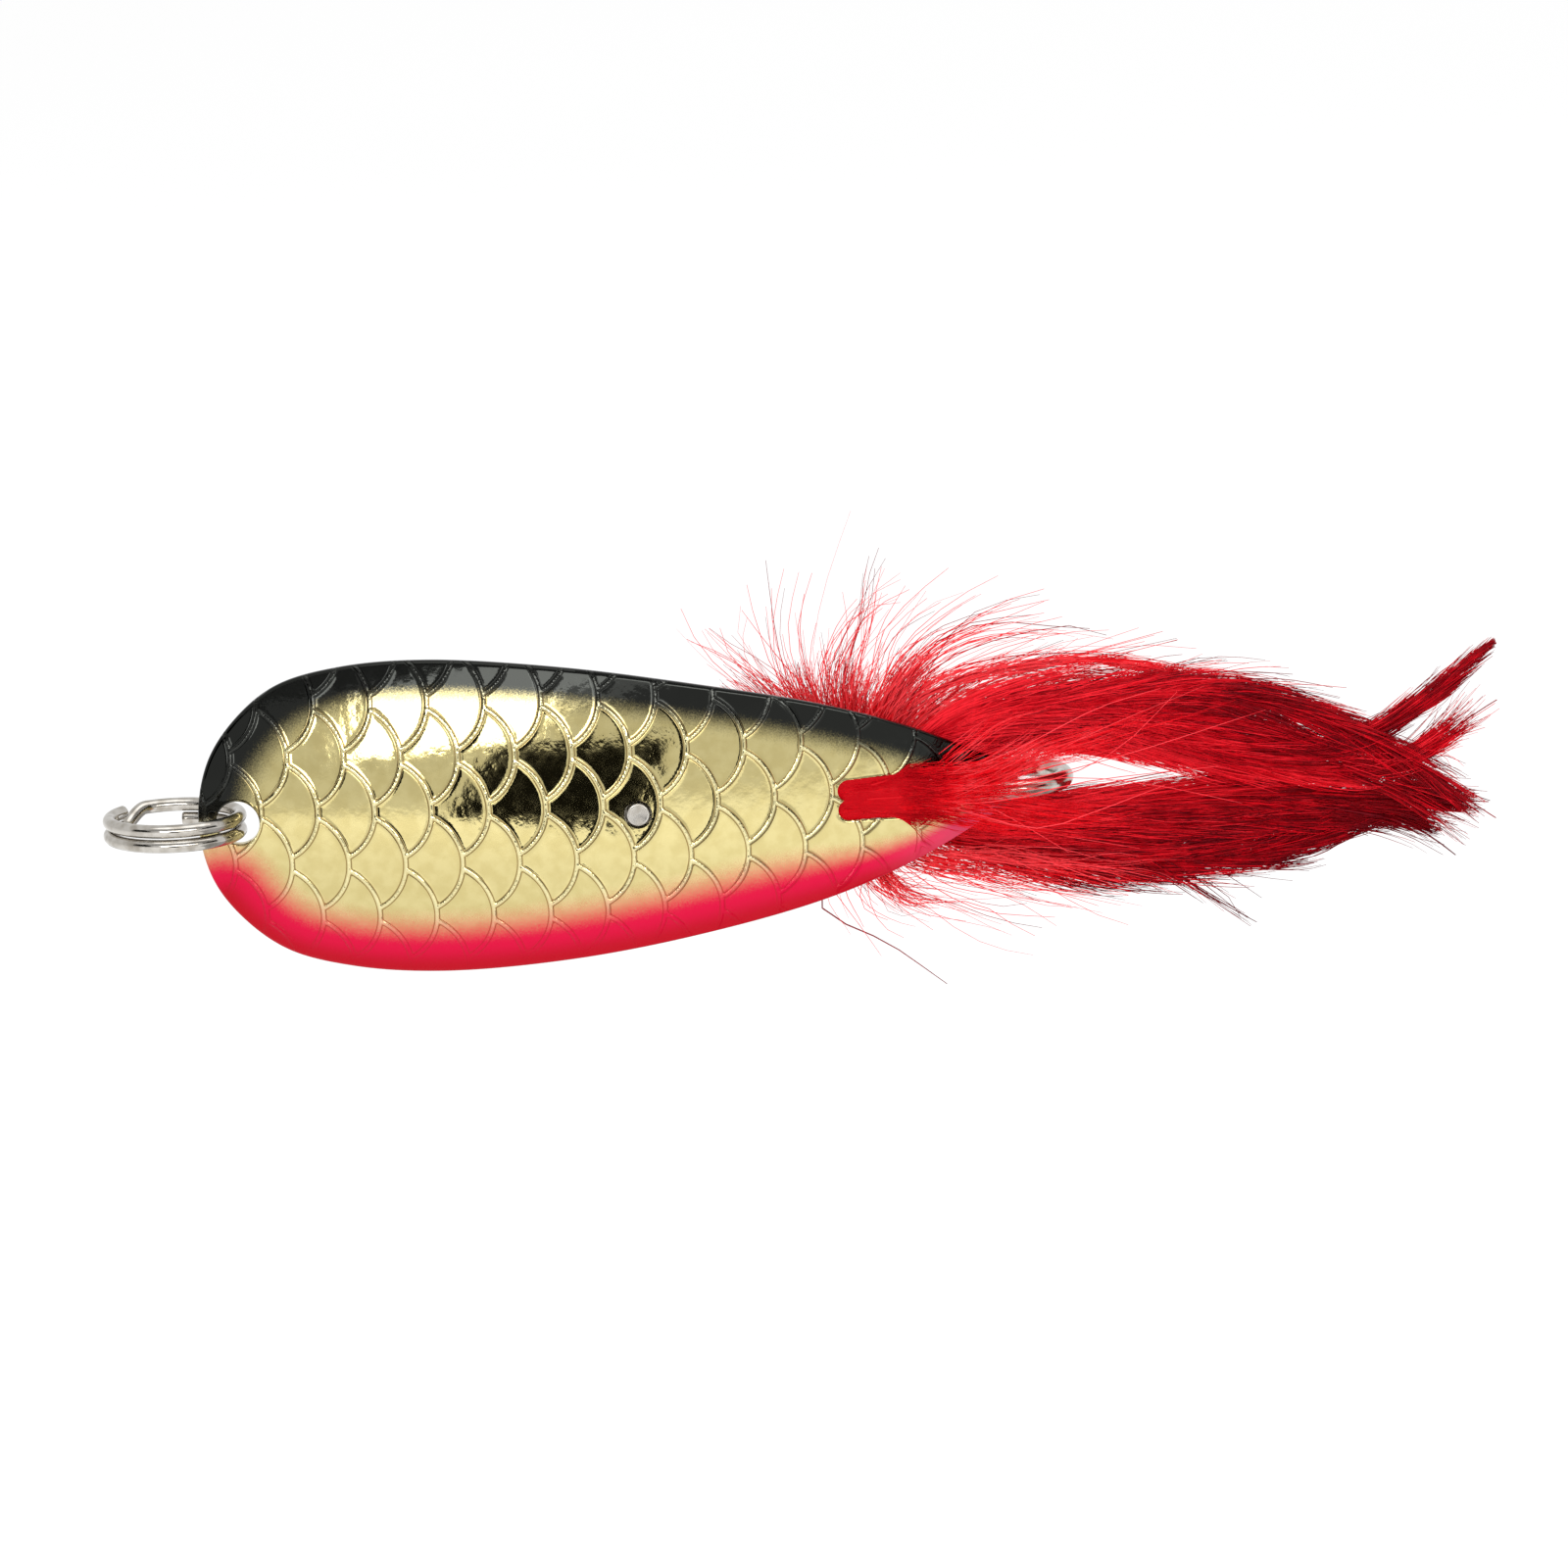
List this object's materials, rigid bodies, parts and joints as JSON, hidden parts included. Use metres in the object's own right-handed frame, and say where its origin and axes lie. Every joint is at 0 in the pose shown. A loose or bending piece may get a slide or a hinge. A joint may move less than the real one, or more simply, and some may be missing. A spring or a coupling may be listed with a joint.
{
  "type": "spoon lure",
  "caption": "Teardrop casting spoon with embossed scales, dark back and pink belly, a split ring at the nose, a riveted hook through a tail slot and a red feather tail.",
  "frame": {"origin": "centre of the nose hole, on the middle of the blade's thickness", "axes": "+X from the nose to the tail, +Z towards the dark back edge, -Y out of the convex embossed face"},
  "size_m": [0.1287, 0.0168, 0.0362],
  "materials": {
    "plated_blade": "polished pale gold plate, black airbrushed back edge, hot pink airbrushed belly edge",
    "nickel": "bright nickel plate",
    "thread": "lacquered binding thread",
    "hackle_feather": "dyed saddle hackle",
    "marabou_feather": "dyed marabou down"
  },
  "bodies": {
    "lure_body": {"spoon_blade": "plated_blade", "hook": "nickel", "rivet": "nickel", "thread_wrap": "thread", "collar_upper": "marabou_feather", "collar_centre": "marabou_feather", "collar_lower": "marabou_feather"},
    "ring": {"split_ring": "nickel"},
    "upper_plumage": {"hackle_upper_outer": "hackle_feather", "hackle_upper_middle": "hackle_feather", "hackle_upper_inner": "hackle_feather", "marabou_sweep": "marabou_feather", "marabou_crest": "marabou_feather", "marabou_spike": "marabou_feather", "marabou_fan": "marabou_feather"},
    "lower_plumage": {"hackle_lower_outer": "hackle_feather", "hackle_lower_middle": "hackle_feather", "hackle_lower_inner": "hackle_feather", "marabou_lower_sweep": "marabou_feather", "marabou_lower_fan": "marabou_feather"}
  },
  "joints": [
    {"name": "ring_swing", "type": "hinge", "parent": "lure_body", "child": "ring", "pos_m": [0.0002, 0, 0], "axis": [0, 0, 1], "range_deg": [-55, 30]},
    {"name": "upper_plumage_sway", "type": "hinge", "parent": "lure_body", "child": "upper_plumage", "pos_m": [0.058, 0.0011, 0], "axis": [0, -1, 0], "range_deg": [0, 12], "stiffness_Nm_per_rad": 0.004},
    {"name": "lower_plumage_sway", "type": "hinge", "parent": "lure_body", "child": "lower_plumage", "pos_m": [0.058, 0.0011, 0], "axis": [0, 1, 0], "range_deg": [0, 12], "stiffness_Nm_per_rad": 0.004}
  ]
}
